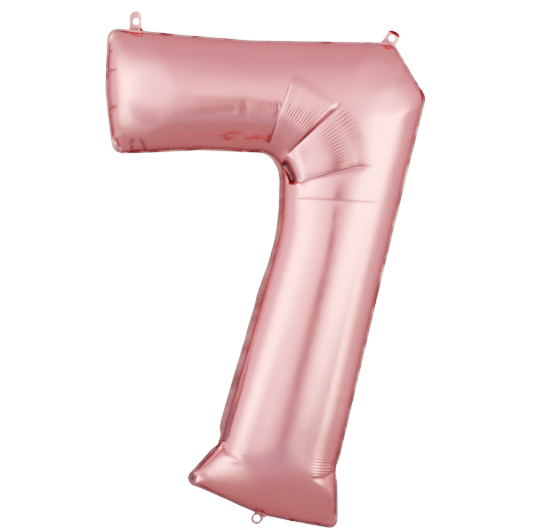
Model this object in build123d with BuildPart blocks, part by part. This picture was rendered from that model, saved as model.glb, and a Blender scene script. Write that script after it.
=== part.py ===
from build123d import *
import os
from math import pi, sin

# Foil number balloon, digit seven, inflated. Millimetres, +Z up. The digit lies in the XZ
# plane and its front faces -Y. The origin is the centre of the hole in the tail tab.

# Driving dimensions
FILM = 1.0  # modelled thickness of a foil panel
SEALANT = 0.6  # modelled thickness of the melted layer between the two flanges
FLANGE = 7.0  # width of the heat seal round the edge
FULL_DEPTH = 186.0  # front to back where the tube is full
ELBOW_DEPTH = 172.0  # front to back across the elbow, which its pleats hold in
SEAM_RISE = 0.4  # what is left of the dome at an end seam
END_RUN = 95.0  # length over which the bar's free end fills out
RISE_POWER = 0.8  # how blunt the filled ends are
END_SHARES = (0, 0.07, 0.18, 0.35, 0.6, 1)  # where a filled end is sliced, from its seam

HOLE_RADIUS = 5.5  # of every tab's hole
HINGE_GAP = 1.7  # from the digit's edge to a tab, where the foil bends
TAB_PLY = FILM + SEALANT / 2  # a tab's ply lies flush with the flange beside it

STRIP_WIDTH = 20.0  # of the coated strip that keeps the filling channel open
VALVE_NECK_WIDTH = 20.0
VALVE_NECK_LENGTH = 25.0
VALVE_WIDTH = 30.0
VALVE_LENGTH = 110.0
VALVE_ROUNDING = 4.0  # at the corners of the valve's mouth
VALVE_FILM = 0.5
VALVE_FILM_GAP = 0.4  # between the valve's two films
VALVE_START = 3.0  # from the end seam to the valve's moving films

# The digit's outline, (x, z)
BAR_END_LOW = (-246, 628)
BAR_END_MIDDLE = (-259, 745)
BAR_END_HIGH = (-255, 844)
BAR_TOP_BEND = (-12, 825)
BAR_TOP_FAR = (105, 824)
SHOULDER_START = (212, 822)
SHOULDER_END = (240, 809)
CORNER_CUT_MIDDLE = (270, 768)
CORNER_CUT_END = (289, 727)
INNER_CORNER_START = (-12, 632)
INNER_CORNER_BEND = (37, 607)
INNER_CORNER_END = (48, 549)
LEFT_NOTCH = (-65, 135)
RIGHT_NOTCH = (135, 83)
FOOT_LEFT = (-117, 68)
FOOT_MIDDLE = (-2, 14)
FOOT_RIGHT = (131, -17)

# Tabs: the middle of the root on the digit's edge, the hole's centre, the radius of the
# rounded end, and the width at the root
LEFT_TAB = ((-208, 840.3), (-208, 857), 11.5, 24.0)
RIGHT_TAB = ((226, 815.5), (233, 828), 11.5, 25.0)
TAIL_ROOT_SHARE = 0.525  # how far along the foot's lower edge the tail tab grows
TAIL_TAB_HOLE = (0, 0)
TAIL_TAB_RADIUS = 10.0
TAIL_TAB_WIDTH = 19.0


# Points and directions in the digit's plane
def between(start, end, share):
    """The point a share of the way from start to end."""
    return tuple(a + (b - a) * share for a, b in zip(start, end))


def distance(start, end):
    return Vector(end[0] - start[0], end[1] - start[1]).length


def toward(start, end, length):
    """The point a given length from start, on the way to end."""
    return between(start, end, length / distance(start, end))


def direction(start, end):
    return Vector(end[0] - start[0], 0, end[1] - start[1]).normalized()


def in_space(point):
    """A point of the digit's plane in the model's three coordinates."""
    return (point[0], 0, point[1])


def front_plane(origin, along):
    """Local x along a line in the digit's plane, local z to the front."""
    return Plane(origin=in_space(origin), x_dir=along, z_dir=(0, -1, 0))


def slice_plane(inner, outer):
    """A crosswise slice's plane: local x from inner to outer, local y to the front."""
    across = direction(inner, outer)
    middle = in_space(between(inner, outer, 0.5))
    return Plane(origin=middle, x_dir=across, z_dir=across.cross(Vector(0, -1, 0)))


# Slices of the tube, each (inner edge, outer edge, depth), from the bar's free end, round the
# elbow, down the stem to the foot
def rise(share):
    """Depth of a filled end, 0 at its seam and 1 where the tube is full."""
    return sin(pi / 2 * share) ** RISE_POWER


def bar_slices():
    low_start = toward(BAR_END_LOW, INNER_CORNER_START, FLANGE)
    high_start = toward(BAR_END_HIGH, BAR_TOP_BEND, FLANGE)
    run_share = END_RUN / distance(low_start, INNER_CORNER_START)
    slices = []
    for share in END_SHARES:
        low = between(low_start, INNER_CORNER_START, share * run_share)
        high = between(high_start, BAR_TOP_BEND, share * run_share)
        slices.append((low, high, FULL_DEPTH * rise(share)))
    slices.append((INNER_CORNER_START, BAR_TOP_BEND, FULL_DEPTH))
    return slices


def elbow_slices():
    def corner_start(share):
        return between(INNER_CORNER_START, INNER_CORNER_BEND, share)

    def corner_end(share):
        return between(INNER_CORNER_BEND, INNER_CORNER_END, share)

    return [
        (corner_start(0.5), BAR_TOP_FAR, ELBOW_DEPTH),
        (corner_start(0.85), SHOULDER_START, ELBOW_DEPTH),
        (INNER_CORNER_BEND, SHOULDER_END, ELBOW_DEPTH),
        (corner_end(0.35), CORNER_CUT_MIDDLE, ELBOW_DEPTH),
        (corner_end(0.7), CORNER_CUT_END, ELBOW_DEPTH),
        (INNER_CORNER_END, between(CORNER_CUT_END, RIGHT_NOTCH, 0.22), FULL_DEPTH),
    ]


def foot_slices():
    left_end = toward(FOOT_LEFT, LEFT_NOTCH, FLANGE)
    right_end = toward(FOOT_RIGHT, RIGHT_NOTCH, FLANGE)
    slices = []
    for share in reversed(END_SHARES):
        left = between(left_end, LEFT_NOTCH, share)
        right = between(right_end, RIGHT_NOTCH, share)
        slices.append((left, right, FULL_DEPTH * rise(share)))
    return slices


SLICES = bar_slices() + elbow_slices() + foot_slices()
INNER_EDGE = [inner for inner, outer, depth in SLICES]
OUTER_EDGE = [outer for inner, outer, depth in SLICES]

# Front panel: a half tube with a flat flange along both sides, and a flat flange beyond each
# end seam, bowed as the ends are
with BuildPart() as front_panel:
    flange_back = SEALANT / 2
    flange_front = flange_back + FILM
    for inner, outer, depth in SLICES:
        half_width = distance(inner, outer) / 2
        half_chamber = half_width - FLANGE
        half_film = half_chamber + FILM
        dome = max(depth / 2, SEAM_RISE)
        with BuildSketch(slice_plane(inner, outer)):
            with BuildLine():
                EllipticalCenterArc((0, flange_front), half_film, dome, arc_size=180)
                Polyline(
                    (-half_film, flange_front),
                    (-half_width, flange_front),
                    (-half_width, flange_back),
                    (-half_chamber, flange_back),
                )
                EllipticalCenterArc((0, flange_back), half_chamber, dome, arc_size=180)
                Polyline(
                    (half_chamber, flange_back),
                    (half_width, flange_back),
                    (half_width, flange_front),
                    (half_film, flange_front),
                )
            make_face()
    loft(ruled=True)
    with BuildSketch(Plane.XZ.offset(flange_back)):
        with BuildLine():
            Polyline(BAR_END_HIGH, OUTER_EDGE[0], INNER_EDGE[0], BAR_END_LOW)
            ThreePointArc(BAR_END_LOW, BAR_END_MIDDLE, BAR_END_HIGH)
        make_face()
        with BuildLine():
            Polyline(FOOT_LEFT, INNER_EDGE[-1], OUTER_EDGE[-1], FOOT_RIGHT)
            ThreePointArc(FOOT_RIGHT, FOOT_MIDDLE, FOOT_LEFT)
        make_face()
    extrude(amount=FILM)

# Rear panel: the front one mirrored in the digit's plane
with BuildPart() as rear_panel:
    mirror(front_panel.part, about=Plane.XZ)

# Filling channel: from the tail tab's root, through the heat seal, into the chamber
foot_edge = Edge.make_three_point_arc(*map(in_space, (FOOT_LEFT, FOOT_MIDDLE, FOOT_RIGHT)))
tail_root = foot_edge.position_at(TAIL_ROOT_SHARE)
seam_along = direction(INNER_EDGE[-1], OUTER_EDGE[-1])
channel_up = seam_along.cross(Vector(0, 1, 0))
seam_height = (Vector(*in_space(INNER_EDGE[-1])) - tail_root).dot(channel_up)

# Sealant melted between the two flanges, cut through where the channel crosses it
with BuildPart() as seal_ring:
    with BuildSketch(Plane.XZ.offset(-SEALANT / 2)):
        with BuildLine():
            Polyline(*INNER_EDGE, FOOT_LEFT)
            ThreePointArc(FOOT_LEFT, FOOT_MIDDLE, FOOT_RIGHT)
            Polyline(FOOT_RIGHT, *reversed(OUTER_EDGE), BAR_END_HIGH)
            ThreePointArc(BAR_END_HIGH, BAR_END_MIDDLE, BAR_END_LOW)
            Line(BAR_END_LOW, INNER_EDGE[0])
        make_face()
        with BuildLine():
            chamber_low = [toward(inner, outer, FLANGE) for inner, outer, depth in SLICES]
            chamber_high = [toward(outer, inner, FLANGE) for inner, outer, depth in SLICES]
            Polyline(*chamber_low, *reversed(chamber_high), close=True)
        make_face(mode=Mode.SUBTRACT)
    extrude(amount=SEALANT)

# Release strip: the coated stretch of the channel that the sealant doesn't stick to
with BuildPart() as release_strip:
    with BuildSketch(Plane(origin=tail_root, x_dir=seam_along, z_dir=channel_up)):
        Rectangle(STRIP_WIDTH, SEALANT)
    extrude(amount=seam_height + FLANGE, both=True)
    add(seal_ring.part, mode=Mode.INTERSECT)

with BuildPart() as heat_seal:
    add(seal_ring.part)
    add(release_strip.part, mode=Mode.SUBTRACT)

# Self-sealing valve: two thin films, one against the other, that stand in the chamber
valve_base = tail_root + channel_up * (seam_height + VALVE_START)
valve_plane = Plane(origin=valve_base, x_dir=seam_along, z_dir=(0, -1, 0))


def valve_film(back_face):
    """One film, from local height back_face towards the front."""
    half_neck = VALVE_NECK_WIDTH / 2
    half_mouth = VALVE_WIDTH / 2
    with BuildPart() as film:
        with BuildSketch(valve_plane.offset(back_face)):
            with BuildLine():
                FilletPolyline(
                    (half_neck, 0),
                    (half_mouth, VALVE_NECK_LENGTH),
                    (half_mouth, VALVE_LENGTH),
                    (-half_mouth, VALVE_LENGTH),
                    (-half_mouth, VALVE_NECK_LENGTH),
                    (-half_neck, 0),
                    radius=VALVE_ROUNDING,
                )
                Line((-half_neck, 0), (half_neck, 0))
            make_face()
        extrude(amount=VALVE_FILM)
    return film


# Tabs: two plies each, cut with one round hole, straight where they bend
def tab_ply(plane, hole, radius, root_width, thickness):
    """One ply, its inner face in the digit's plane. Local y leads away from the edge."""
    place = plane.to_local_coords(Vector(*in_space(hole)))
    centre = (place.X, place.Y)
    with BuildPart() as ply:
        with BuildSketch(plane):
            with BuildLine():
                CenterArc(centre, radius, 0, 360)
                Line((-root_width / 2, HINGE_GAP), (root_width / 2, HINGE_GAP))
            make_hull()
            with Locations(centre):
                Circle(HOLE_RADIUS, mode=Mode.SUBTRACT)
        extrude(amount=thickness)
    return ply


tail_root_point = (tail_root.X, tail_root.Z)
left_tab_plane = front_plane(LEFT_TAB[0], direction(BAR_END_HIGH, BAR_TOP_BEND))
right_tab_plane = front_plane(RIGHT_TAB[0], direction(SHOULDER_START, SHOULDER_END))
tail_tab_plane = front_plane(tail_root_point, -foot_edge.tangent_at(TAIL_ROOT_SHARE))
tabs = {
    "left_tab": (left_tab_plane, *LEFT_TAB[1:]),
    "right_tab": (right_tab_plane, *RIGHT_TAB[1:]),
    "tail_tab": (tail_tab_plane, TAIL_TAB_HOLE, TAIL_TAB_RADIUS, TAIL_TAB_WIDTH),
}

# Every piece by its node's name
pieces = {
    "front_panel": front_panel,
    "rear_panel": rear_panel,
    "heat_seal": heat_seal,
    "valve_release_strip": release_strip,
    "valve_front_film": valve_film(VALVE_FILM_GAP / 2),
    "valve_rear_film": valve_film(-VALVE_FILM_GAP / 2 - VALVE_FILM),
}
for tab_name, tab in tabs.items():
    pieces[tab_name + "_front_ply"] = tab_ply(*tab, TAB_PLY)
    pieces[tab_name + "_rear_ply"] = tab_ply(*tab, -TAB_PLY)

os.makedirs("parts", exist_ok=True)
for node_name, piece in pieces.items():
    piece.part.label = node_name
    export_step(piece.part, "parts/" + node_name + ".step")

# The bending lines, in metres, for the joints
bending_lines = {tab_name: (tab[0], HINGE_GAP) for tab_name, tab in tabs.items()}
bending_lines["valve"] = (valve_plane, 0)
for line_name, (plane, height) in bending_lines.items():
    place = plane.from_local_coords(Vector(0, height, 0)) / 1000
    along = plane.x_dir
    print(line_name, [round(v, 6) for v in place], [round(v, 6) for v in along])
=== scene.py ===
import math

import bpy
import numpy as np
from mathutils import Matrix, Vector
from mathutils.geometry import delaunay_2d_cdt


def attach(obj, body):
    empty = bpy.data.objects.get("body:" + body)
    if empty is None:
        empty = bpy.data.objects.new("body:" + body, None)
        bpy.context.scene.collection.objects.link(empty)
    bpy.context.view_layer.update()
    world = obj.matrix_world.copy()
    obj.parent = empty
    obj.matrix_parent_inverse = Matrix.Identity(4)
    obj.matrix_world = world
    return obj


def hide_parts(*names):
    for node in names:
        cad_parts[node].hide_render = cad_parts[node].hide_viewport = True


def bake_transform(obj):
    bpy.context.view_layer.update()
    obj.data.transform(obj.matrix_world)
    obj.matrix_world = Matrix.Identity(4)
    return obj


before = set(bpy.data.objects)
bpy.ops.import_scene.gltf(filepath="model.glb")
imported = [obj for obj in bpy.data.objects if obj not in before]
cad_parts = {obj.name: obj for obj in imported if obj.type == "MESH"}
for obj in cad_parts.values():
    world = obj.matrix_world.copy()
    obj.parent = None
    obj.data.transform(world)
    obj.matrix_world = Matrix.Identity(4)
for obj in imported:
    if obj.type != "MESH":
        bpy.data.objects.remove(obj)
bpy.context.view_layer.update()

# Foil number balloon, digit seven. The two panels are cut from flat film, welded along the
# seam and inflated by cloth simulation; pleats and creases are then pressed into the film.
# Metres, in the CAD model's frame: the digit lies in the XZ plane and its front faces -Y.
MM = 0.001
scene = bpy.context.scene
norm = np.linalg.norm
rng = np.random.default_rng(7)

# Driving sizes
FLANGE = 8.0 * MM  # seam to the film's edge
FILM = 0.25 * MM
SEAL_GAP = 0.4 * MM  # thickness of the melted sealant between the flanges
MESH_STEP = 8.0 * MM
TUBE_RADIUS = 93.0 * MM

# Outline of the seam, one row a corner: where it is when inflated and where it was cut in the
# flat film, each as (x, z, rounding) in millimetres.
SEAM = [
    ("bar end, top", (-254, 843, 14), (-264, 856, 19)),
    ("bar top", (-132, 831, 100), (-139, 876, 100)),
    ("bar top bend", (-12, 821, 100), (-12, 875, 100)),
    ("shoulder", (234, 817, 16), (251, 862, 22)),
    ("corner cut", (288, 726, 16), (328, 735, 25)),
    ("stem, right", (215, 428, 60), (265, 411, 60)),
    ("right notch", (135, 88, 7), (183, 95, 69)),
    ("foot, right", (136, -16, 9), (146, -34, 12)),
    ("foot, middle", (8, 9, 100), (-8, -37, 69)),
    ("foot, left", (-119, 66, 6), (-132, 51, 9)),
    ("left notch", (-63, 129, 7), (-111, 139, 69)),
    ("stem, left", (44, 499, 260), (-13, 487, 260)),
    ("inner corner", (47, 632, 45), (11, 606, 28)),
    ("bar underside", (-98, 638, 69), (-105, 585, 69)),
    ("bar end, bottom", (-246, 631, 14), (-258, 620, 17)),
    ("bar end, middle", (-258, 738, 69), (-281, 739, 69)),
]


def add_object(name, data):
    made = bpy.data.objects.new(name, data)
    scene.collection.objects.link(made)
    return made


def new_mesh(name, points, faces):
    mesh = bpy.data.meshes.new(name)
    mesh.from_pydata(points, [], faces)
    return mesh


# ---- flat pattern
def rounded_corners(corners):
    """Each corner as (arc start, arc end, arc centre, radius), in metres."""
    result = []
    count = len(corners)
    for i in range(count):
        before, at, after = (
            np.array(corners[k % count][:2], float) * MM for k in (i - 1, i, i + 1)
        )
        radius = corners[i][2] * MM
        to_before, to_after = before - at, after - at
        far_before, far_after = norm(to_before), norm(to_after)
        to_before /= far_before
        to_after /= far_after
        angle = math.acos(np.clip(to_before @ to_after, -1, 1))
        angle = min(angle, math.pi - 0.01)
        setback = min(radius / math.tan(angle / 2), 0.49 * far_before, 0.49 * far_after)
        radius = setback * math.tan(angle / 2)
        bisector = to_before + to_after
        length = norm(bisector)
        centre = at + bisector / max(length, 1e-9) * radius / math.sin(angle / 2)
        result.append((at + to_before * setback, at + to_after * setback, centre, radius))
    return result


def arc_turn(start, end, centre):
    a = math.atan2(*(start - centre)[::-1])
    b = math.atan2(*(end - centre)[::-1])
    return a, (b - a + math.pi) % (2 * math.pi) - math.pi


def stretch_lengths(corners):
    lengths = []
    for i, (start, end, centre, radius) in enumerate(corners):
        next_start = corners[(i + 1) % len(corners)][0]
        lengths.append(abs(arc_turn(start, end, centre)[1]) * radius)
        lengths.append(norm(next_start - end))
    return lengths


def outline_points(corners, counts):
    """The rounded outline, with the given number of points on each arc and each straight."""
    points = []
    for i, (start, end, centre, radius) in enumerate(corners):
        first, turn = arc_turn(start, end, centre)
        for j in range(counts[2 * i]):
            angle = first + turn * j / counts[2 * i]
            points.append(centre + radius * np.array([math.cos(angle), math.sin(angle)]))
        next_start = corners[(i + 1) % len(corners)][0]
        for j in range(counts[2 * i + 1]):
            points.append(end + (next_start - end) * j / counts[2 * i + 1])
    return np.array(points)


def is_inside(points, outline):
    x, z = points[:, 0], points[:, 1]
    inside = np.zeros(len(points), bool)
    for (x1, z1), (x2, z2) in zip(np.roll(outline, 1, 0), outline):
        crosses = (z1 > z) != (z2 > z)
        inside ^= crosses & (x < (x2 - x1) * (z - z1) / (z2 - z1 + 1e-30) + x1)
    return inside


def distance_to(points, outline):
    """Distance to the outline, and the direction away from its nearest point."""
    nearest = np.full(len(points), 1e9)
    away = np.zeros((len(points), 2))
    for a, b in zip(np.roll(outline, 1, 0), outline):
        along = b - a
        share = np.clip((points - a) @ along / (along @ along), 0, 1)
        offset = points - (a + share[:, None] * along)
        far = norm(offset, axis=1)
        closer = far < nearest
        nearest[closer] = far[closer]
        away[closer] = offset[closer] / (far[closer, None] + 1e-9)
    return nearest, away


def carry(points, outline, moves):
    """Moves of the outline carried smoothly into the sheet (mean value coordinates)."""
    result = np.zeros((len(points), 2))
    for first in range(0, len(points), 2000):
        part = points[first : first + 2000]
        spoke = outline[None] - part[:, None]
        far = norm(spoke, axis=2) + 1e-12
        spoke_next, far_next = np.roll(spoke, -1, 1), np.roll(far, -1, 1)
        cross = spoke[..., 0] * spoke_next[..., 1] - spoke[..., 1] * spoke_next[..., 0]
        dot = (spoke * spoke_next).sum(2)
        flat = np.abs(cross) < 1e-14
        half_tan = np.where(flat, 0, (far * far_next - dot) / np.where(flat, 1, cross))
        weight = (np.roll(half_tan, 1, 1) + half_tan) / far
        result[first : first + 2000] = (weight @ moves) / weight.sum(1)[:, None]
    return result


def turned_left(points, a, b, c):
    """A flat triangle's corners in counterclockwise order."""
    turn = np.cross(points[b] - points[a], points[c] - points[a])
    return (a, b, c) if turn > 0 else (a, c, b)


def flat_sheet(outline, step):
    """Triangulated flat sheet whose first points are the outline's."""
    low, high = outline.min(0), outline.max(0)
    rows = np.arange(low[1], high[1], step * math.sqrt(3) / 2)
    grid = []
    for number, z in enumerate(rows):
        across = np.arange(low[0] + step / 2 * (number % 2), high[0], step)
        grid.append(np.stack([across, np.full(len(across), z)], 1))
    grid = np.vstack(grid)
    grid = grid[is_inside(grid, outline)]
    grid = grid[distance_to(grid, outline)[0] > step * 0.6]
    points = np.vstack([outline, grid])
    count = len(outline)
    edges = [(i, (i + 1) % count) for i in range(count)]
    made = delaunay_2d_cdt([Vector(p) for p in points], edges, [list(range(count))], 1, 1e-7)
    triangles = []
    for corners in made[2]:
        triangles.append(turned_left(points, *corners))
    return points, np.array(triangles)


inflated_corners = rounded_corners([row[1] for row in SEAM])
cut_corners = rounded_corners([row[2] for row in SEAM])
counts = [max(1, round(length / MESH_STEP)) for length in stretch_lengths(cut_corners)]
seam_line = outline_points(inflated_corners, counts)
cut_line = outline_points(cut_corners, counts)
seam_count = len(seam_line)
flat_points, flat_triangles = flat_sheet(cut_line, MESH_STEP)


# ---- inflation
def start_shape():
    """The sheet brought to the inflated outline and arched over a round tube."""
    moved = flat_points + carry(flat_points, cut_line, seam_line - cut_line)
    moved[:seam_count] = seam_line
    cut_depth, _ = distance_to(flat_points, cut_line)
    depth, away = distance_to(moved, seam_line)
    turn = np.minimum(cut_depth / TUBE_RADIUS, math.pi / 2)
    pull = np.clip(TUBE_RADIUS * (1 - np.cos(turn)) - depth, -0.03, 0)
    pull *= np.clip((math.pi / 2 - turn) / 0.6, 0, 1)
    moved[seam_count:] += (away * pull[:, None])[seam_count:]
    height = TUBE_RADIUS * np.sin(turn)
    height[:seam_count] = 0
    return moved, height


def two_sides(points, height):
    """Front sheet then rear sheet, which share the seam's points."""
    front = np.stack([points[:, 0], -height, points[:, 1]], 1)
    rear = np.stack([points[:, 0], height, points[:, 1]], 1)
    return np.vstack([front, rear[seam_count:]])


def inflate():
    """Cloth simulation of the two welded sheets under gas pressure."""
    count = len(flat_points)
    rear_index = np.arange(count)
    rear_index[seam_count:] += count - seam_count
    faces = np.vstack([flat_triangles, rear_index[flat_triangles][:, ::-1]])
    moved, height = start_shape()
    mesh = new_mesh("inflation", two_sides(moved, height).tolist(), faces.tolist())
    bag = add_object("inflation", mesh)
    bpy.context.view_layer.objects.active = bag
    bag.shape_key_add(name="start")
    cut = bag.shape_key_add(name="cut")
    cut.data.foreach_set("co", two_sides(flat_points, np.zeros(count)).ravel())
    seam = bag.vertex_groups.new(name="seam")
    seam.add(list(range(seam_count)), 1.0, "REPLACE")
    cloth = bag.modifiers.new("film", "CLOTH")
    settings = cloth.settings
    settings.quality = 6
    settings.mass = 0.02
    settings.air_damping = 2
    settings.tension_stiffness = 200
    settings.shear_stiffness = 200
    settings.compression_stiffness = 10
    settings.bending_model = "ANGULAR"
    settings.bending_stiffness = 0.02
    settings.use_pressure = True
    settings.uniform_pressure_force = 30
    settings.effector_weights.gravity = 0
    settings.vertex_group_mass = "seam"
    settings.rest_shape_key = cut
    cloth.collision_settings.use_collision = False
    cloth.point_cache.frame_start = 1
    cloth.point_cache.frame_end = SIM_FRAMES + 1
    scene.frame_start, scene.frame_end = 1, SIM_FRAMES + 1
    for number in range(1, SIM_FRAMES + 1):
        scene.frame_set(number)
    result = bag.evaluated_get(bpy.context.evaluated_depsgraph_get())
    points = np.empty(len(result.data.vertices) * 3, np.float32)
    result.data.vertices.foreach_get("co", points)
    points = points.reshape(-1, 3).astype(float)
    scene.frame_set(1)
    bpy.data.objects.remove(bag)
    bpy.data.meshes.remove(mesh)
    return points[:count], points[rear_index]


SIM_FRAMES = 40
SMOOTH_ROUNDS = 10
front_points, rear_points = inflate()


# ---- mesh tools
def sides_of(triangles):
    """Every triangle's sides, in its own direction: all ab, then all bc, then all ca."""
    return np.vstack([triangles[:, [0, 1]], triangles[:, [1, 2]], triangles[:, [2, 0]]])


def edge_table(triangles):
    """Unique edges, and each triangle's three edge numbers (ab, bc, ca)."""
    pairs = np.sort(sides_of(triangles), 1)
    edges, number = np.unique(pairs, axis=0, return_inverse=True)
    number = number.reshape(3, -1).T
    return edges, number


def loop_subdivide(points, triangles):
    """One round of Loop subdivision: four triangles for each, on a smooth surface."""
    edges, number = edge_table(triangles)
    count = len(points)
    width = points.shape[1]
    opposite = np.zeros((len(edges), width))
    uses = np.zeros(len(edges), int)
    for side in range(3):
        np.add.at(opposite, number[:, side], points[triangles[:, (side + 2) % 3]])
        np.add.at(uses, number[:, side], 1)
    middle = (points[edges[:, 0]] + points[edges[:, 1]]) / 2
    inner = uses == 2
    ends = points[edges[:, 0]] + points[edges[:, 1]]
    new = np.where(inner[:, None], ends * 3 / 8 + opposite / 8, middle)
    ring_sum = np.zeros((count, width))
    ring = np.zeros(count)
    rim_sum = np.zeros((count, width))
    on_rim = np.zeros(count, bool)
    for a, b in ((0, 1), (1, 0)):
        np.add.at(ring_sum, edges[:, a], points[edges[:, b]])
        np.add.at(ring, edges[:, a], 1)
        rim = ~inner
        np.add.at(rim_sum, edges[rim, a], points[edges[rim, b]])
        on_rim[edges[rim, a]] = True
    beta = (5 / 8 - (3 / 8 + np.cos(2 * math.pi / ring) / 4) ** 2) / ring
    old = points * (1 - ring * beta)[:, None] + ring_sum * beta[:, None]
    old[on_rim] = (points * 0.75 + rim_sum / 8)[on_rim]
    return np.vstack([old, new]), split_all(triangles, number + count)


def split_all(triangles, middle):
    a, b, c = triangles.T
    ab, bc, ca = middle.T
    return np.vstack(
        [np.stack(t, 1) for t in ((a, ab, ca), (b, bc, ab), (c, ca, bc), (ab, bc, ca))]
    )


def refine(points, triangles, chosen):
    """Halves every edge of the chosen triangles and closes the mesh round them."""
    edges, number = edge_table(triangles)
    marked = np.zeros(len(edges), bool)
    marked[number[chosen].ravel()] = True
    new_index = np.full(len(edges), -1)
    new_index[marked] = len(points) + np.arange(marked.sum())
    points = np.vstack([points, points[edges[marked]].mean(1)])
    middle = new_index[number]
    hits = (middle >= 0).sum(1)
    parts = [triangles[hits == 0], split_all(triangles[hits == 3], middle[hits == 3])]
    for side in range(3):
        order = [side, (side + 1) % 3, (side + 2) % 3]
        a, b, c = triangles[:, order].T
        ab, bc, ca = middle[:, order].T
        one = (hits == 1) & (ab >= 0)
        parts.append(np.stack([a, ab, c], 1)[one])
        parts.append(np.stack([ab, b, c], 1)[one])
        two = (hits == 2) & (ab < 0)
        parts.append(np.stack([c, ca, bc], 1)[two])
        parts.append(np.stack([a, b, bc], 1)[two])
        parts.append(np.stack([a, bc, ca], 1)[two])
    return points, np.vstack(parts)


def normals_of(points, triangles):
    a, b, c = (points[triangles[:, k]] for k in range(3))
    face = np.cross(b - a, c - a)
    normal = np.zeros_like(points)
    for k in range(3):
        np.add.at(normal, triangles[:, k], face)
    return normal / (norm(normal, axis=1)[:, None] + 1e-12)


def smooth(points, triangles, rounds, strength, free):
    """Moves each free point towards the mean of its neighbours."""
    edges, _ = edge_table(triangles)
    for _ in range(rounds):
        total = np.zeros_like(points)
        ring = np.zeros(len(points))
        for a, b in ((0, 1), (1, 0)):
            np.add.at(total, edges[:, a], points[edges[:, b]])
            np.add.at(ring, edges[:, a], 1)
        mean = total / ring[:, None]
        points = points + (mean - points) * (strength * free)[:, None]
    return points


# ---- folds in the film
# Places are (x, z) in millimetres on the front; the rear panel gets the same folds, turned a
# little and less deep. Lengths named deep and wide are in metres.
FAN_CENTRE = (-13.5, 562.7)  # the pleats round the inner corner all point here
FAN_SEAM = 85  # radius of the seam round the fan's centre
FAN_RIM = (188, 222)  # radii between which the film drops from the shoulder to the fan
PLEAT_TURN = 1.85  # degrees from one fine pleat to the next


def ease(value, low, high):
    """0 below low, 1 above high, and a smooth step between."""
    share = np.clip((value - low) / (high - low), 0, 1)
    return share * share * (3 - 2 * share)


def window(value, low, high, soft):
    return ease(value, low - soft, low + soft) * (1 - ease(value, high - soft, high + soft))


def along_path(x, z, path):
    """Distance from a path in millimetres, and how far along it (0 to 1) each point is."""
    path = np.array(path, float)
    lengths = norm(np.diff(path, axis=0), axis=1)
    total, done = lengths.sum(), 0.0
    nearest = np.full(len(x), 1e9)
    share = np.zeros(len(x))
    for a, b, length in zip(path, path[1:], lengths):
        way = (b - a) / length
        reach = np.clip((x - a[0]) * way[0] + (z - a[1]) * way[1], 0, length)
        far = np.hypot(x - a[0] - reach * way[0], z - a[1] - reach * way[1])
        closer = far < nearest
        nearest[closer] = far[closer]
        share[closer] = (done + reach[closer]) / total
        done += length
    return nearest, share


def fold(x, z, path, deep, wide, ends=(0.15, 0.3), sharp=0.8):
    """A V-shaped fold along a path: full depth between its two tapering ends."""
    far, share = along_path(x, z, path)
    profile = np.exp(-(np.hypot(far, sharp) - sharp) / wide)
    taper = ease(share, 0, ends[0]) * (1 - ease(share, 1 - ends[1], 1))
    return -deep * MM * profile * taper


def ridge(x, z, path, high, wide, ends=(0.4, 0.4)):
    """A soft rounded ridge (or with a negative height, a hollow) along a path."""
    far, share = along_path(x, z, path)
    taper = ease(share, 0, ends[0]) * (1 - ease(share, 1 - ends[1], 1))
    return high * MM * np.exp(-((far / wide) ** 2)) * taper


def crease_lines(x, z, paths, wide=2.0):
    """Painted shade along fold lines: each path's strength on its line, 0 away from them."""
    shade = np.zeros(len(x))
    for path, strength in paths:
        far, share = along_path(x, z, path)
        taper = ease(share, 0, 0.04) * (1 - ease(share, 0.8, 1))
        shade = np.maximum(shade, strength * taper * np.exp(-((far / wide) ** 2)))
    return shade


def fan_point(radius, degrees):
    angle = math.radians(degrees)
    return FAN_CENTRE[0] + radius * math.cos(angle), FAN_CENTRE[1] + radius * math.sin(angle)


FAN_FOLDS = (
    [fan_point(86, 67), fan_point(140, 68), fan_point(207, 69)],
    [fan_point(89, 44), fan_point(150, 43.5), fan_point(222, 43)],
    [fan_point(82, 9), fan_point(140, 12.5), fan_point(190, 13), fan_point(222, 11)],
    [fan_point(80, -9), fan_point(130, -6.5), fan_point(232, -5)],
)


FAN_FOLD_SIZES = (  # depth, width and tapering ends of each
    (2.2, 5, (0.06, 0.5)),
    (3.0, 8, (0.06, 0.3)),
    (4.0, 10, (0.06, 0.35)),
    (1.3, 7, (0.1, 0.5)),
)
LOBE_PROUD = 3.0  # how far the upper lobe stands out, in millimetres
LOBE_SUNK = 2.0  # and how far the lower one lies in
PLEAT_HEIGHTS = (0.26, 0.17)  # upper and lower lobe


def fan_polar(x, z, turned=0.0):
    across, up = x - FAN_CENTRE[0], z - FAN_CENTRE[1]
    return np.hypot(across, up), np.degrees(np.arctan2(up, across)) - turned


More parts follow.
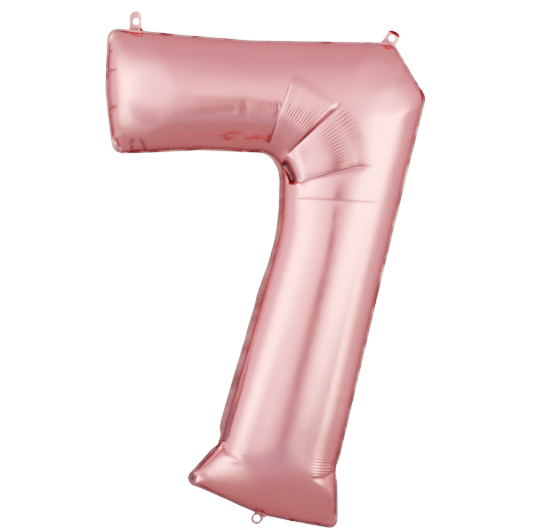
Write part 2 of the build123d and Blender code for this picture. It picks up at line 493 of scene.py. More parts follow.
def fan_folds(x, z, turned, strength, seed):
    """The elbow: a proud and a sunk lobe between long folds, both finely pleated."""
    radius, angle = fan_polar(x, z, turned)
    pleats = np.random.default_rng(seed)
    upper_lobe = ease(angle, 42.5, 45.5) * (1 - ease(angle, 67, 69.5))
    lower_lobe = ease(angle, 9, 13) * (1 - ease(angle, 42.5, 45.5))
    proud = ease(radius, 105, 150) * (1 - ease(radius, 193, 216))
    sink = LOBE_PROUD * MM * proud * upper_lobe
    level = (1 - ease(radius, *FAN_RIM)) * ease(radius, FAN_SEAM + 8, 140)
    sink -= LOBE_SUNK * MM * level * lower_lobe
    spoke = np.radians(turned)
    out, up = x - FAN_CENTRE[0], z - FAN_CENTRE[1]
    x = FAN_CENTRE[0] + out * np.cos(spoke) + up * np.sin(spoke)
    z = FAN_CENTRE[1] + up * np.cos(spoke) - out * np.sin(spoke)
    moved = sink
    for path, sizes in zip(FAN_FOLDS, FAN_FOLD_SIZES):
        moved = moved + fold(x, z, path, *sizes)
    number = np.round(angle / PLEAT_TURN).astype(int)
    length = pleats.uniform(-1, 1, 200)[number % 200]
    height = pleats.uniform(0.6, 1.0, 200)[number % 200]
    wave = np.cos(2 * math.pi * angle / PLEAT_TURN)
    upper = window(angle, 46, 66, 1.5) * window(radius, 138 + 9 * length, 199 + 5 * length, 9)
    reach = np.where(length > 0.55, 105, 163 + 10 * length)
    lower = window(angle, 12.5, 42, 2) * window(radius, reach, 214 + 7 * length, 9)
    moved += MM * height * wave * (PLEAT_HEIGHTS[0] * upper + PLEAT_HEIGHTS[1] * lower)
    return strength * moved


def pocket(x, z, strength):
    """How far the film is tucked in where the two lobes meet the seam of the inner corner."""
    path = [(43, 618), (52, 604), (59, 590), (64, 573)]
    return strength * ridge(x, z, path, 20, 6.5, (0.25, 0.2))


def tuck_at(x, z, front):
    return pocket(x, z, 1.0) if front else pocket(x + 3, z - 4, 0.8)


def bar_folds(x, z, strength):
    """Light folds along the bar, beside the elbow."""
    moved = fold(x, z, [(-18, 650), (-18.6, 728)], 1.6, 5, (0.2, 0.5))
    moved += ridge(x, z, [(-20, 664), (-14, 676)], -1.2, 7, (0.4, 0.4))
    moved += fold(x, z, [(-62, 652), (-40, 655), (-20, 657)], 2.2, 4, (0.5, 0.3))
    moved += fold(x, z, [(-124, 686), (-80, 694), (-29, 699)], 1.1, 5, (0.6, 0.1))
    wave = np.cos(2 * math.pi * x / 4.6) * window(x, -2, 42, 5) * window(z, 692, 730, 6)
    return strength * (moved + 0.10 * MM * wave)


END_TUCKS = [
    ([(-264, 770), (-246, 770.5), (-236, 772)], 1.8),
    ([(-262, 703), (-248, 706), (-237, 709)], 2.0),
    ([(-264, 803), (-246, 805)], 1.2),
    ([(-250, 640), (-252, 662), (-248, 676)], 2.6),
    ([(-238, 628), (-240, 644), (-243, 658)], 2.4),
    ([(-216, 624), (-215, 643), (-211, 656)], 2.6),
    ([(-190, 627), (-194, 642), (-201, 656)], 2.4),
]


def end_folds(x, z, strength):
    """Tucks that the seam pinches into the bar's end and its lower corner."""
    moved = np.zeros(len(x))
    for path, deep in END_TUCKS:
        moved += fold(x, z, path, deep, 4.0, (0.01, 0.6))
    moved += fold(x, z, [(-206, 845), (-204, 826)], 1.5, 4, (0.01, 0.6))
    return strength * moved


WAIST_FOLDS = [
    [(-62, 126), (-46, 112), (-30, 104), (-16, 101)],
    [(136, 84), (118, 74), (100, 73), (86, 77)],
    [(-4, 320), (-36, 212), (-59, 134)],
    [(-60, 126), (-80, 103), (-103, 78)],
    [(158, 178), (144, 122), (132, 90)],
]


WAIST_FOLD_SIZES = (  # depth, width and tapering ends of each
    (3.0, 6, (0.01, 0.6)),
    (2.8, 6, (0.01, 0.6)),
    (6.5, 3.5, (0.7, 0.02)),
    (3.0, 3, (0.02, 0.4)),
    (3.0, 3, (0.6, 0.02)),
)


def foot_folds(x, z, strength):
    """The waist above the foot: a sagging fold from each notch, with fine pleats over it."""
    moved = np.zeros(len(x))
    for path, sizes in zip(WAIST_FOLDS, WAIST_FOLD_SIZES):
        moved += fold(x, z, path, *sizes)
    left = window(x, -46, -22, 6) * window(z, 108, 156, 8)
    right = window(x, 94, 130, 6) * window(z, 76, 104, 6)
    moved += 0.16 * MM * np.cos(2 * math.pi * (z - 0.35 * x) / 4.4) * left
    moved += 0.15 * MM * np.cos(2 * math.pi * (z + 0.12 * x) / 5.0) * right
    moved += fold(x, z, [(96, 48), (104, 20), (122, -10)], 2.0, 6, (0.5, 0.1))
    moved += fold(x, z, [(-108, 72), (-84, 74)], 3.0, 6, (0.01, 0.7))
    return strength * moved


SHOULDER_TUCKS = [
    [(246, 806), (232, 790)],
    [(266, 776), (250, 765)],
    [(284, 742), (266, 738)],
    [(286, 712), (268, 712)],
]


def shoulder_folds(x, z, strength):
    """Small tucks round the outer corner and down the outer side of the stem."""
    moved = np.zeros(len(x))
    for path in SHOULDER_TUCKS:
        moved += fold(x, z, path, 2.0, 4, (0.01, 0.7))
    return strength * moved


# ---- the two panels
# The mesh is refined round these lines, which lie near the folds.
FOLD_LINES = [
    [(21, 641), (61, 757)],
    [(50, 625), (149, 714)],
    [(67, 576), (123, 593), (205, 605)],
    [(66, 550), (218, 542)],
    [(-62, 126), (-46, 110), (-14, 99)],
    [(136, 84), (118, 74), (84, 78)],
]


def fine_zones(x, z):
    """Where the mesh is halved once, and where it is halved twice."""
    radius, angle = fan_polar(x, z)
    near = np.minimum.reduce([along_path(x, z, path)[0] for path in FOLD_LINES])
    pleated = window(radius, 128, 226, 1) * window(angle, 11, 68, 1) > 0.5
    pleated |= (along_path(x, z, [(45, 616), (66, 575)])[0] < 14) & (z > 565)
    foot = (x > -58) & (x < -14) & (z > 96) & (z < 160)
    foot |= (x > 88) & (x < 134) & (z > 68) & (z < 110)
    once = (near < 26) | pleated | foot | (x < -228)
    return once, (near < 6) | pleated | foot


def seam_loop(triangles):
    """The open edge of a sheet as one loop of points, in the triangles' own direction."""
    known = set(map(tuple, sides_of(triangles).tolist()))
    following = {a: b for a, b in known if (b, a) not in known}
    loop = [min(following)]
    while following[loop[-1]] != loop[0]:
        loop.append(following[loop[-1]])
    return np.array(loop)


both = np.hstack([front_points, rear_points])
inside_seam = (np.arange(len(both)) >= seam_count).astype(float)
for _ in range(SMOOTH_ROUNDS):
    both = smooth(both, flat_triangles, 1, 0.5, inside_seam)
    both = smooth(both, flat_triangles, 1, -0.52, inside_seam)
x_here, z_here = both[:, 0] / MM, both[:, 2] / MM
crumpled = window(x_here, -185, 22, 12) * window(z_here, 648, 700, 10)
crumpled = np.maximum(crumpled, 1 - ease(z_here - 0.1 * x_here, 95, 165))
crumpled = np.maximum(crumpled, 1 - ease(x_here, -175, -120))
both = smooth(both, flat_triangles, 12, 0.5, crumpled * inside_seam)
both, film = loop_subdivide(both, flat_triangles)
for level in (0, 1):
    middle = both[film].mean(1) / MM
    both, film = refine(both, film, fine_zones(middle[:, 0], middle[:, 2])[level])
loop = seam_loop(film)
loop_points = both[loop][:, [0, 2]]
loop_step = norm(np.roll(loop_points, -1, 0) - loop_points, axis=1)
loop_along = np.concatenate([[0], np.cumsum(loop_step)[:-1]])


def soften(values, rounds):
    """Running mean round the closed seam."""
    for _ in range(rounds):
        values = (np.roll(values, 1, 0) + 2 * values + np.roll(values, -1, 0)) / 4
    return values


def seam_outward():
    """Outward direction in the digit's plane at each seam point."""
    tangent = soften(np.roll(loop_points, -1, 0) - np.roll(loop_points, 1, 0), 6)
    outward = np.stack([tangent[:, 1], -tangent[:, 0]], 1)
    return outward / norm(outward, axis=1)[:, None]


def near_loop(place, reach):
    """1 at the seam points nearest a place given in millimetres, fading to 0 at reach."""
    far = norm(loop_points / MM - np.array(place), axis=1)
    return 1 - ease(far, 0.3 * reach, reach)


def seam_noise(generator, spacing):
    """Smooth random values from -1 to 1 round the seam, with the given spacing in metres."""
    total = loop_along[-1] + loop_step[-1]
    knots = max(4, round(total / spacing))
    values = generator.uniform(-1, 1, knots)
    place = loop_along / total * knots
    low = np.floor(place).astype(int)
    part = place - low
    part = part * part * (3 - 2 * part)
    return values[low % knots] * (1 - part) + values[(low + 1) % knots] * part


TAB_ROOTS = [(-208, 840), (226, 815), (8, 10)]
NOTCHES = [(-65, 135), (135, 83)]
GATHERS = [
    (-238, 634, 46), (-60, 134, 30), (134, 86, 30), (-116, 72, 26), (128, -12, 30), (272, 768, 60),
]

outward = seam_outward()
calm = np.maximum.reduce([near_loop(place, 42) for place in TAB_ROOTS])
gathered = np.maximum.reduce([near_loop(row[:2], row[2]) for row in GATHERS])
notched = np.maximum.reduce([near_loop(place, 24) for place in NOTCHES])
ripple = seam_noise(rng, 0.011) * 0.7 + seam_noise(rng, 0.027)
# The flange shows whole beside the stem's inner side; on the other sides, where it turns back, it is
# only drawn narrower.
narrow = 0.5 * ease(outward[:, 1], 0.4, 0.9) + 0.5 * ease(-outward[:, 1], 0.6, 0.95)
narrow += 0.45 * ease(outward[:, 0], 0.3, 0.8) + 0.5 * ease(-loop_points[:, 0], 0.22, 0.25)
narrow = soften(np.clip(narrow, 0, 0.55), 12)
flange_wave = (1 - calm) * ripple * (0.9 + 2.2 * gathered) * MM
flange_width = FLANGE * (1 - 0.38 * notched - 0.12 * gathered + 0.05 * seam_noise(rng, 0.02))
flange_width = flange_width * (1 - narrow)
beside_stem = window(loop_points[:, 1], 0.15, 0.42, 0.03) * ease(-outward[:, 0], 0.5, 0.9)
flange_width = flange_width * (1 + 0.35 * beside_stem)
puckers = seam_noise(rng, 0.009) * (0.35 + 0.9 * gathered) * (1 - 0.7 * calm)
FLANGE_ROWS = 4


def flange_rows(side, lift, trim=0.0):
    """Rows of points from the seam to the film's edge, lifted off the seam's plane."""
    result = []
    for row in range(FLANGE_ROWS + 1):
        share = row / FLANGE_ROWS
        place = loop_points + outward * ((flange_width - trim) * share)[:, None]
        depth = flange_wave * share**1.4 + side * lift
        result.append(np.stack([place[:, 0], depth, place[:, 1]], 1))
    return result


def nearest_on_seam(points, reach):
    """Distance of each point from the seam, and the number of its nearest seam point."""
    far = np.full(len(points), reach)
    number = np.zeros(len(points), int)
    for first in range(0, len(points), 4000):
        part = points[first : first + 4000][:, [0, 2]]
        gap = norm(part[:, None] - loop_points[None], axis=2)
        number[first : first + 4000] = gap.argmin(1)
        far[first : first + 4000] = np.minimum(gap.min(1), reach)
    return far, number


def ring_triangles(inner, outer):
    """Triangles between two loops of points that run the same way, seen from the front."""
    inner_next, outer_next = np.roll(inner, -1), np.roll(outer, -1)
    return np.vstack(
        [np.stack([inner, outer, outer_next], 1), np.stack([inner, outer_next, inner_next], 1)]
    )


def closed_film(points, triangles, rims, thick):
    """The sheet given its thickness inwards, with its rims closed."""
    count = len(points)
    inner = points - normals_of(points, triangles) * thick
    parts = [triangles, triangles[:, ::-1] + count]
    for rim in rims:
        after = np.roll(rim, -1)
        parts.append(np.stack([rim, rim + count, after + count], 1))
        parts.append(np.stack([rim, after + count, after], 1))
    return np.vstack([points, inner]), np.vstack(parts)


def add_piece(name, points, triangles, sharp=50):
    mesh = new_mesh(name, points.tolist(), triangles.tolist())
    mesh.polygons.foreach_set("use_smooth", [True] * len(mesh.polygons))
    mesh.set_sharp_from_angle(angle=math.radians(sharp))
    mesh.update()
    return add_object(name, mesh)


def add_values(piece, name, values):
    """A number at each point of the piece, for its material to read."""
    layer = piece.data.attributes.new(name, "FLOAT", "POINT")
    layer.data.foreach_set("value", np.asarray(values, np.float32))


def folds_at(x, z, front):
    if front:
        moved = fan_folds(x, z, 0.0, 1.0, 11) + bar_folds(x, z, 1.0)
        return moved + end_folds(x, z, 1.0) + foot_folds(x, z, 1.0) + shoulder_folds(x, z, 1.0)
    moved = fan_folds(x, z, -2.5, 0.8, 12)
    moved += end_folds(x, z + 4, 0.8) + foot_folds(x, z - 2, 0.85)
    return moved + shoulder_folds(x, z + 3, 0.9)


def shade_at(x, z, front):
    """Painted shade: how much the film's colour is darkened along tight folds, at the foot's left tip
    and in the tuck.
    """
    paths = list(zip(FAN_FOLDS, (0.75, 0.9, 0.9, 0.65)))
    paths += [(path, 0.75) for path, _ in END_TUCKS]
    paths += [(path, 0.5) for path in WAIST_FOLDS[:2]]
    lines = crease_lines(x, z, paths)
    far, _ = along_path(x, z, [(-121, 66), (-110, 71)])
    lines = np.maximum(lines, 0.85 * (1 - ease(far, 3, 8)))
    for path, share in ((WAIST_FOLDS[2], 0.9), (WAIST_FOLDS[3], 0.7), (WAIST_FOLDS[4], 0.4)):
        far, along = along_path(x, z, path)
        lines = np.maximum(lines, share * ease(along, 0.1, 0.8) * np.exp(-((far / 2.2) ** 2)))
    return np.maximum(lines, 0.85 * ease(tuck_at(x, z, front) / MM, 2, 10))


def make_panel(name, front):
    side = -1 if front else 1
    triangles = film if front else film[:, ::-1]
    points = both[:, :3] if front else both[:, 3:]
    normal = normals_of(points, triangles)
    x, z = both[:, 0] / MM, both[:, 2] / MM
    far, number = nearest_on_seam(points, 0.05)
    rise = ease(far, 0.0, 0.006)
    moved = folds_at(x, z, front) * rise
    moved += puckers[number] * MM * np.exp(-far / (9 * MM)) * rise * (1.6 if front else 1.3)
    points = points + normal * moved[:, None]
    height = np.abs(points[:, 1])
    tucked = height - tuck_at(x, z, front)
    points[:, 1] = side * np.maximum(tucked, np.minimum(height, 4 * MM))
    lift = SEAL_GAP / 2 + FILM
    points[:, 1] += side * lift
    rows = flange_rows(side, lift)
    count = len(points)
    rings = [loop] + [count + k * len(loop) + np.arange(len(loop)) for k in range(FLANGE_ROWS)]
    strips = [ring_triangles(a, b) for a, b in zip(rings, rings[1:])]
    triangles = np.vstack([film] + strips)
    triangles = triangles if front else triangles[:, ::-1]
    rim = rings[-1] if front else rings[-1][::-1]
    points = np.vstack([points] + rows[1:])
    shell, faces = closed_film(points, triangles, [rim], FILM)
    piece = add_piece(name, shell, faces)
    weld = np.concatenate([1 - ease(far, 0, 0.005), np.ones(len(loop) * FLANGE_ROWS)])
    edge = np.zeros(len(points))
    edge[rings[-1]] = 1
    add_values(piece, "weld", np.tile(weld, 2))
    # Painted shade along the folds and in the tuck, which darkens the foil's colour.
    shade = np.concatenate([shade_at(x, z, front), np.zeros(len(loop) * FLANGE_ROWS)])
    add_values(piece, "shade", np.tile(shade, 2))
    add_values(piece, "cut_edge", np.tile(edge, 2))
    return piece


def make_seal():
    """The melted sealant between the two flanges."""
    trim = 0.4 * MM
    half = SEAL_GAP / 2 - 0.01 * MM
    rows = flange_rows(-1, half, trim)
    back = flange_rows(1, half, trim)
    count = len(loop)
    rings = [np.arange(count) + k * count for k in range(FLANGE_ROWS + 1)]
    total = count * (FLANGE_ROWS + 1)
    strips = [ring_triangles(a, b) for a, b in zip(rings, rings[1:])]
    rear = [strip[:, ::-1] + total for strip in strips]
    outer_wall = ring_triangles(rings[-1], rings[-1] + total)
    inner_wall = ring_triangles(rings[0], rings[0] + total)[:, ::-1]
    points = np.vstack(rows + back)
    return add_piece("seam_sealant", points, np.vstack(strips + rear + [outer_wall, inner_wall]))


front_foil = make_panel("front_foil", True)
rear_foil = make_panel("rear_foil", False)
sealant = make_seal()


# ---- hanging tabs
TAB_HOLE = 5.5  # radius of the punched hole
TAB_STEP = 1.3


def tab_outline(reach, round_radius, half_root, tip_beyond):
    """Flat tab: from its root, up its sides, and round the hole. (across, along) in mm."""
    side = [(half_root, -3.0), (half_root, 0.0), (round_radius + 0.4, reach * 0.45)]
    side.append((round_radius, reach))
    tip = [
        (round_radius * math.cos(a), reach + tip_beyond + round_radius * math.sin(a))
        for a in np.linspace(0.12, math.pi - 0.12, 19)
    ]
    return np.array(side + tip + [(-u, v) for u, v in side[::-1]])


def tab_sheet(reach, round_radius, half_root, tip_beyond):
    """Flat triangulated tab with its hole, and its two rims, each with the film on its left."""
    outline = tab_outline(reach, round_radius, half_root, tip_beyond)
    outer = []
    for a, b in zip(outline, np.roll(outline, -1, 0)):
        steps = max(1, round(norm(b - a) / TAB_STEP))
        outer += [a + (b - a) * k / steps for k in range(steps)]
    outer = np.array(outer)
    turn = np.linspace(0, -2 * math.pi, 28, endpoint=False)
    hole = np.stack([TAB_HOLE * np.cos(turn), reach + TAB_HOLE * np.sin(turn)], 1)
    low, high = outer.min(0), outer.max(0)
    close_rows = np.arange(-0.6, 2.8, 0.45)  # where the tab bends on its hinge line
    rows = np.concatenate([[-1.8], close_rows, np.arange(3.6, high[1], TAB_STEP * 0.87)])
    across, along = np.meshgrid(np.arange(low[0], high[0], TAB_STEP), rows)
    across = across + (np.arange(len(across)) % 2)[:, None] * TAB_STEP / 2
    grid = np.stack([across.ravel(), along.ravel()], 1)
    clear = is_inside(grid, outer) & (distance_to(grid, outer)[0] > 0.5)
    clear &= np.hypot(grid[:, 0], grid[:, 1] - reach) > TAB_HOLE + 0.6
    points = np.vstack([outer, hole, grid[clear]])
    rims = [np.arange(len(outer)), len(outer) + np.arange(len(hole))]
    edges = [pair for rim in rims for pair in zip(rim.tolist(), np.roll(rim, -1).tolist())]
    made = delaunay_2d_cdt([Vector(p) for p in points], edges, [], 0, 1e-6)
    triangles = []
    for corners in made[2]:
        middle = (points[corners[0]] + points[corners[1]] + points[corners[2]]) / 3
        on_film = np.hypot(middle[0], middle[1] - reach) > TAB_HOLE * 0.99
        if on_film and is_inside(middle[None], outer)[0]:
            triangles.append(turned_left(points, *corners))
    return points, np.array(triangles), rims


def bent_left(u, v):
    """Right side folded over to the front, with a crease across the root."""
    lean = np.maximum(u - 4.0, 0)
    out = -0.75 * lean + 1.1 * np.exp(-(((v - 3.0) / 1.6) ** 2)) - 0.5 * np.sin(u / 4)
    return u - 0.32 * lean, v, out


def bent_right(u, v):
    """Tip bent over to the front above the hole, sides slightly cupped."""
    tip = np.maximum(v - 21.0, 0)
    out = -0.87 * tip + 0.012 * u * u - 0.8 * np.exp(-(((v - 3.5) / 1.8) ** 2))
    return u, v - 0.5 * tip, out


def bent_tail(u, v):
    """Neck twisted and pleated between the foot and the ring."""
    neck = np.exp(-(((v - 3.2) / 3.2) ** 2))
    out = -1.5 * neck * np.sin((u + 2) / 2.6) + 0.05 * u * neck * 4
    return u * (1 - 0.16 * neck), v, out


TABS = {
    "left_tab": ((-207.9, 841.2), (-208, 857), 11.5, 13.2, 6.5, bent_left),
    "right_tab": ((226.6, 816.4), (233, 828), 11.5, 13.4, 6.0, bent_right),
    "tail_tab": ((8.0, 9.4), (0, 0), 9.6, 10.4, 1.0, bent_tail),
}


def make_tab(body, root, hole, round_radius, half_root, tip_beyond, bend):
    """Two plies of film from the flange's edge, over the hinge line, to the tab's tip."""
    root, hole = np.array(root, float), np.array(hole, float)
    reach = norm(hole - root)
    along = (hole - root) / reach
    across = np.array([along[1], -along[0]])
    flat, triangles, rims = tab_sheet(reach, round_radius, half_root, tip_beyond)
    free = ease(flat[:, 1], -1.0, 4.0)
    u, v, out = bend(flat[:, 0], flat[:, 1])
    u, v = flat[:, 0] + (u - flat[:, 0]) * free, flat[:, 1] + (v - flat[:, 1]) * free
    place = (root + u[:, None] * across + v[:, None] * along) * MM
    for ply, side in (("front_ply", -1), ("rear_ply", 1)):
        lift = side * (0.26 + 0.45 * (1 - ease(flat[:, 1], 0.2, 2.5)))
        points = np.stack([place[:, 0], (lift + out * free) * MM, place[:, 1]], 1)
        faces = triangles if side < 0 else triangles[:, ::-1]
        rims_here = rims if side < 0 else [rim[::-1] for rim in rims]
        shell, closed = closed_film(points, faces, rims_here, 0.25 * MM)
        piece = add_piece(f"{body}_film_{ply}", shell, closed)
        add_values(piece, "weld", np.full(len(shell), 0.5))
        add_values(piece, "cut_edge", np.zeros(len(shell)))
        # Painted shade along the crease at the tab's root.
        root_fold_shade = np.exp(-(((flat[:, 1] - 2.6) / 1.4) ** 2))
        add_values(piece, "shade", np.tile(0.55 * root_fold_shade, 2))
        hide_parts(f"{body}_{ply}")
        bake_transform(piece)
        piece.data.materials.append(foil)


# ---- materials
def new_material(name):
    """A material, its node tree and its shader."""
    material = bpy.data.materials.new(name)
    material.use_nodes = True
    return material, material.node_tree, material.node_tree.nodes["Principled BSDF"]


def add_node(tree, kind, inputs=None, **settings):
    node = tree.nodes.new(kind)
    for key, value in settings.items():
        setattr(node, key, value)
    for key, value in (inputs or {}).items():
        if isinstance(value, bpy.types.NodeSocket):
            tree.links.new(value, node.inputs[key])
        else:
            node.inputs[key].default_value = value
    return node


def object_place(tree):
    return add_node(tree, "ShaderNodeTexCoord").outputs["Object"]


def noise(tree, place, scale, detail=3.0, rough=0.5):
    inputs = {"Vector": place, "Scale": scale, "Detail": detail, "Roughness": rough}
    return add_node(tree, "ShaderNodeTexNoise", inputs).outputs["Fac"]


def remap(tree, value, low, high, new_low, new_high, kind="LINEAR"):
    inputs = {0: value, 1: low, 2: high, 3: new_low, 4: new_high}
    return add_node(tree, "ShaderNodeMapRange", inputs, interpolation_type=kind).outputs[0]


def stretched(tree, place, scale):
    inputs = {"Vector": place, "Scale": scale}
    return add_node(tree, "ShaderNodeMapping", inputs).outputs[0]


def mixed(tree, share, first, second):
    node = add_node(tree, "ShaderNodeMix", data_type="RGBA")
    for socket, value in ((node.inputs[0], share), (node.inputs[6], first), (node.inputs[7], second)):
        if isinstance(value, bpy.types.NodeSocket):
            tree.links.new(value, socket)
        else:
            socket.default_value = value
    return node.outputs[2]


def math_node(tree, operation, *values):
    inputs = dict(enumerate(values))
    return add_node(tree, "ShaderNodeMath", inputs, operation=operation).outputs[0]


def times(tree, first, second):
    return math_node(tree, "MULTIPLY", first, second)


def plus_share(tree, total, value, share):
    """total + value * share"""
    return math_node(tree, "ADD", total, times(tree, value, share))


def stored(tree, name):
    """A number stored at the piece's points."""
    return add_node(tree, "ShaderNodeAttribute", attribute_name=name).outputs["Fac"]


PINK = (0.86, 0.27, 0.30, 1)
PINK_DEEP = (0.82, 0.245, 0.275, 1)
PINK_WELDED = (0.29, 0.13, 0.135, 1)
# Painted shade: the colour mixed in along folds and in the tuck.
PINK_PAINTED_SHADE = (0.10, 0.05, 0.06, 1)
BARE_EDGE = (0.30, 0.19, 0.19, 1)


def foil_material(name):
    """Metallised film: pink lacquer over aluminium, with faint roll lines, fine crinkle and painted
    shade along its folds and in the tuck.
    """
    material, tree, shader = new_material(name)
    place = object_place(tree)
    weld, cut, shade = (stored(tree, name) for name in ("weld", "cut_edge", "shade"))
    cloudy = remap(tree, noise(tree, place, 7.0), 0.3, 0.7, 0, 1)
    colour = mixed(tree, cloudy, PINK, PINK_DEEP)
    colour = mixed(tree, times(tree, weld, 0.85), colour, PINK_WELDED)
    # Painted shade: darkened by the stored shade values along folds and in the tuck.
    colour = mixed(tree, shade, colour, PINK_PAINTED_SHADE)
    colour = mixed(tree, cut, colour, BARE_EDGE)
    tree.links.new(colour, shader.inputs["Base Color"])
    lines = noise(tree, stretched(tree, place, (900, 900, 14)), 1.0, 2.0)
    scuffs = noise(tree, stretched(tree, place, (60, 60, 35)), 1.0, 5.0, 0.65)
    rough = remap(tree, scuffs, 0.3, 0.75, 0.17, 0.27)
    for value, share in ((lines, 0.03), (weld, 0.10), (shade, 0.28)):
        rough = plus_share(tree, rough, value, share)
    tree.links.new(rough, shader.inputs["Roughness"])
    shader.inputs["Metallic"].default_value = 1.0
    shader.inputs["Specular Tint"].default_value = (0.75, 0.50, 0.52, 1)
    ribs = add_node(tree, "ShaderNodeTexWave", {"Vector": place, "Scale": 190.0, "Distortion": 1.5})
    pressed = times(tree, ribs.outputs["Fac"], weld)
    crinkle = noise(tree, place, 260.0, 3.0)
    dimples = noise(tree, place, 38.0, 2.0)
    height = times(tree, crinkle, 0.12)
    for value, share in ((dimples, 0.5), (pressed, 0.25), (lines, 0.04)):
        height = plus_share(tree, height, value, share)
    bump = add_node(tree, "ShaderNodeBump", {"Height": height, "Strength": 0.5, "Distance": 0.0005})
    tree.links.new(bump.outputs[0], shader.inputs["Normal"])
    return material


def film_material(name, first, second, rough, clear=0.0):
    """Plastic film or melted sealant: cloudy colour, uneven gloss and a grainy surface."""
    material, tree, shader = new_material(name)
    place = object_place(tree)
    cloudy = remap(tree, noise(tree, place, 45.0, 4.0), 0.3, 0.7, 0, 1)
    tree.links.new(mixed(tree, cloudy, first, second), shader.inputs["Base Color"])
    uneven = remap(tree, noise(tree, place, 160.0, 3.0), 0.3, 0.7, rough - 0.07, rough + 0.07)
    tree.links.new(uneven, shader.inputs["Roughness"])
    grain = noise(tree, place, 700.0, 2.0)
    bump = add_node(tree, "ShaderNodeBump", {"Height": grain, "Strength": 0.3, "Distance": 0.0003})
    tree.links.new(bump.outputs[0], shader.inputs["Normal"])
    shader.inputs["Transmission Weight"].default_value = clear
    return material


foil = foil_material("pink_foil_film")
sealant_film = film_material("melted_sealant", (0.55, 0.36, 0.36, 1), (0.62, 0.44, 0.43, 1), 0.45)
valve_film = film_material("milky_valve_film", (0.80, 0.83, 0.86, 1), (0.72, 0.76, 0.80, 1), 0.25, 0.35)
release_coat = film_material("release_coat", (0.50, 0.53, 0.60, 1), (0.44, 0.46, 0.54, 1), 0.55)

for panel, node in ((front_foil, "front_panel"), (rear_foil, "rear_panel")):
    panel.data.materials.append(foil)
    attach(panel, "envelope")
    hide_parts(node)
sealant.data.materials.append(sealant_film)
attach(sealant, "envelope")
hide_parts("heat_seal")
for name, material in (
    ("valve_front_film", valve_film),
    ("valve_rear_film", valve_film),
    ("valve_release_strip", release_coat),
):
    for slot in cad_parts[name].material_slots:
        slot.material = material
for body, sizes in TABS.items():
    make_tab(body, *sizes)


# ---- camera
WIDTH_SEEN = 0.9192  # metres across the frame at the digit's own plane
CAMERA_BACK = 5.0
centre = Vector((0.0167, 0.0, 0.4369))
camera_data = bpy.data.cameras.new("camera")
camera_data.sensor_width = 36
camera_data.lens = 36 * CAMERA_BACK / WIDTH_SEEN
camera = add_object("camera", camera_data)
camera.location = centre + Vector((0, -CAMERA_BACK, 0))
camera.rotation_euler = (math.pi / 2, 0, 0)
scene.camera = camera


# ---- floor and light
FLOOR_DEPTH = -0.27
FLOOR_CENTRE = 0.3
FLOOR_RADIUS = 1.8
FLOOR_CORNERS = 96
FLOOR_FADE = (0.8, 1.75)  # radii between which the floor's edge melts away
FLOOR_GLOW = (1.0, 1.0, 0.98, 1)  # what the camera sees added to it


def make_floor():
    """A round pale studio floor, well below the balloon, which floats."""
    points = []
    for angle in np.linspace(0, 2 * math.pi, FLOOR_CORNERS, endpoint=False):
        x = FLOOR_CENTRE + FLOOR_RADIUS * math.cos(angle)
        points.append((x, FLOOR_RADIUS * math.sin(angle), FLOOR_DEPTH))
    mesh = new_mesh("studio_floor", points, [range(FLOOR_CORNERS)])
    floor = add_object("studio_floor", mesh)
    material = film_material("pale_floor", (0.44, 0.46, 0.42, 1), (0.42, 0.44, 0.40, 1), 0.7)
    tree = material.node_tree
    place = object_place(tree)
    inputs = {"Vector": place, "Location": (-FLOOR_CENTRE, 0, 0), "Scale": (1, 1, 0)}
    flat = add_node(tree, "ShaderNodeMapping", inputs).outputs[0]
    radius = add_node(tree, "ShaderNodeVectorMath", {0: flat}, operation="LENGTH").outputs["Value"]
    solid = remap(tree, radius, *FLOOR_FADE, 1.0, 0.0)
    shader = tree.nodes["Principled BSDF"]
    tree.links.new(solid, shader.inputs["Alpha"])
    # Paler to the camera than in the foil's reflections.
    shader.inputs["Emission Color"].default_value = FLOOR_GLOW
    seen = add_node(tree, "ShaderNodeLightPath").outputs["Is Camera Ray"]
    tree.links.new(seen, shader.inputs["Emission Strength"])
    mesh.materials.append(material)


make_floor()

# The studio as the foil mirrors it, in degrees: azimuth 0 is towards the camera and grows
# towards +X, elevation 0 is level. Each light fades over its blur at both sides, and below and
# above: (azimuths, blur, elevations, blur below, blur above, colour added).
LIGHTS = [
    ((-75, 75), 35, (-55, 40), 12, 40, (0.90, 0.88, 0.87)),  # bright room in front
    ((24, 82), 16, (-30, 10), 12, 14, (5.0, 6.2, 4.8)),  # softbox, right
    ((62, 138), 26, (-45, 25), 20, 25, (0.55, 0.53, 0.52)),  # its spill on the wall
    ((-90, -52), 14, (-30, 31), 12, 12, (3.3, 3.8, 3.2)),  # softbox, left
    ((-92, -28), 20, (-20, 34), 16, 14, (1.7, 1.7, 1.6)),  # its reflector
    ((-45, 25), 22, (-10, 20), 18, 22, (0.38, 0.38, 0.35)),  # wall behind the camera
    ((-135, -98), 14, (-30, 40), 16, 16, (0.75, 0.75, 0.72)),  # lit wall, left
]
SKY = (0.97, 0.90, 0.98, 1)
GROUND = (0.62, 0.60, 0.63, 1)
BACKDROP = (8, 8, 8, 1)


FLAG_FOOT = FLOOR_DEPTH + 0.01
# Soft-edged flags in front, seen only in the foil's reflections: name, (x, y), half widths where
# it is solid and where it has faded out, heights likewise, how solid, and its colour.
FLAGS = [
    ("studio_flag", (0.10, -1.0), (0.07, 0.30), (0.60, 0.73), 0.70, (0.05, 0.05, 0.07, 1)),
    ("low_flag", (0.02, -0.62), (1.3, 1.9), (0.01, 0.27), 0.88, (0.74, 0.80, 0.93, 1)),
    ("left_flag", (-1.05, -0.64), (0.45, 0.75), (0.35, 0.56), 0.68, (0.74, 0.80, 0.93, 1)),
]


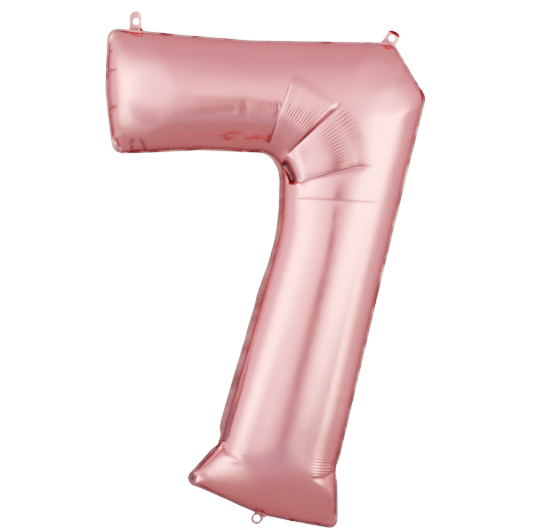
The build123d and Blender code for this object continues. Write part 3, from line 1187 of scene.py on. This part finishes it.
def make_flag(name, place_at, half, top, strength, glow):
    left, right = place_at[0] - half[1], place_at[0] + half[1]
    corners = ((left, FLAG_FOOT), (right, FLAG_FOOT), (right, top[1]), (left, top[1]))
    mesh = new_mesh(name, [(x, place_at[1], z) for x, z in corners], [(0, 1, 2, 3)])
    flag = add_object(name, mesh)
    flag.visible_camera = False
    flag.visible_shadow = False
    flag.visible_diffuse = False
    material, tree, _ = new_material(name + "_cloth")
    tree.nodes.clear()
    place = object_place(tree)
    parts = add_node(tree, "ShaderNodeSeparateXYZ", {"Vector": place}).outputs
    aside = math_node(tree, "ABSOLUTE", math_node(tree, "SUBTRACT", parts["X"], place_at[0]))
    across = remap(tree, aside, *half, strength, 0.0)
    solid = times(tree, across, remap(tree, parts["Z"], *top, 1.0, 0.0))
    shine = add_node(tree, "ShaderNodeEmission", {"Color": glow})
    clear = add_node(tree, "ShaderNodeBsdfTransparent")
    inputs = {0: solid, 1: clear.outputs[0], 2: shine.outputs[0]}
    blend = add_node(tree, "ShaderNodeMixShader", inputs)
    add_node(tree, "ShaderNodeOutputMaterial", {"Surface": blend.outputs[0]})
    mesh.materials.append(material)


for flag_row in FLAGS:
    make_flag(*flag_row)


def world_light():
    """Soft studio light by direction: pale sky, dim ground, and large soft boxes."""
    world = bpy.data.worlds.new("studio")
    scene.world = world
    world.use_nodes = True
    tree = world.node_tree
    way = add_node(tree, "ShaderNodeTexCoord").outputs["Generated"]
    parts = add_node(tree, "ShaderNodeSeparateXYZ", {"Vector": way}).outputs
    toward = times(tree, parts["Y"], -1.0)
    azimuth = math_node(tree, "ARCTAN2", parts["X"], toward)
    azimuth = times(tree, azimuth, 180 / math.pi)
    elevation = math_node(tree, "ARCSINE", parts["Z"])
    elevation = times(tree, elevation, 180 / math.pi)

    def step(value, at, blur, rising):
        ends = (0.0, 1.0) if rising else (1.0, 0.0)
        return remap(tree, value, at - blur, at + blur, *ends, "SMOOTHSTEP")

    def patch(sides, side_blur, heights, low_blur, high_blur):
        share = step(azimuth, sides[0], side_blur, True)
        share = times(tree, share, step(azimuth, sides[1], side_blur, False))
        share = times(tree, share, step(elevation, heights[0], low_blur, True))
        return times(tree, share, step(elevation, heights[1], high_blur, False))

    colour = mixed(tree, step(elevation, 0, 12, True), GROUND, SKY)
    for *place, light in LIGHTS:
        node = add_node(tree, "ShaderNodeMix", data_type="RGBA", blend_type="ADD")
        node.clamp_factor = False
        tree.links.new(patch(*place), node.inputs[0])
        tree.links.new(colour, node.inputs[6])
        node.inputs[7].default_value = (*light, 1)
        colour = node.outputs[2]
    seen = add_node(tree, "ShaderNodeLightPath").outputs["Is Camera Ray"]
    colour = mixed(tree, seen, colour, BACKDROP)
    tree.links.new(colour, tree.nodes["Background"].inputs["Color"])


world_light()
scene.view_settings.view_transform = "AgX"
scene.view_settings.look = "AgX - Medium High Contrast"
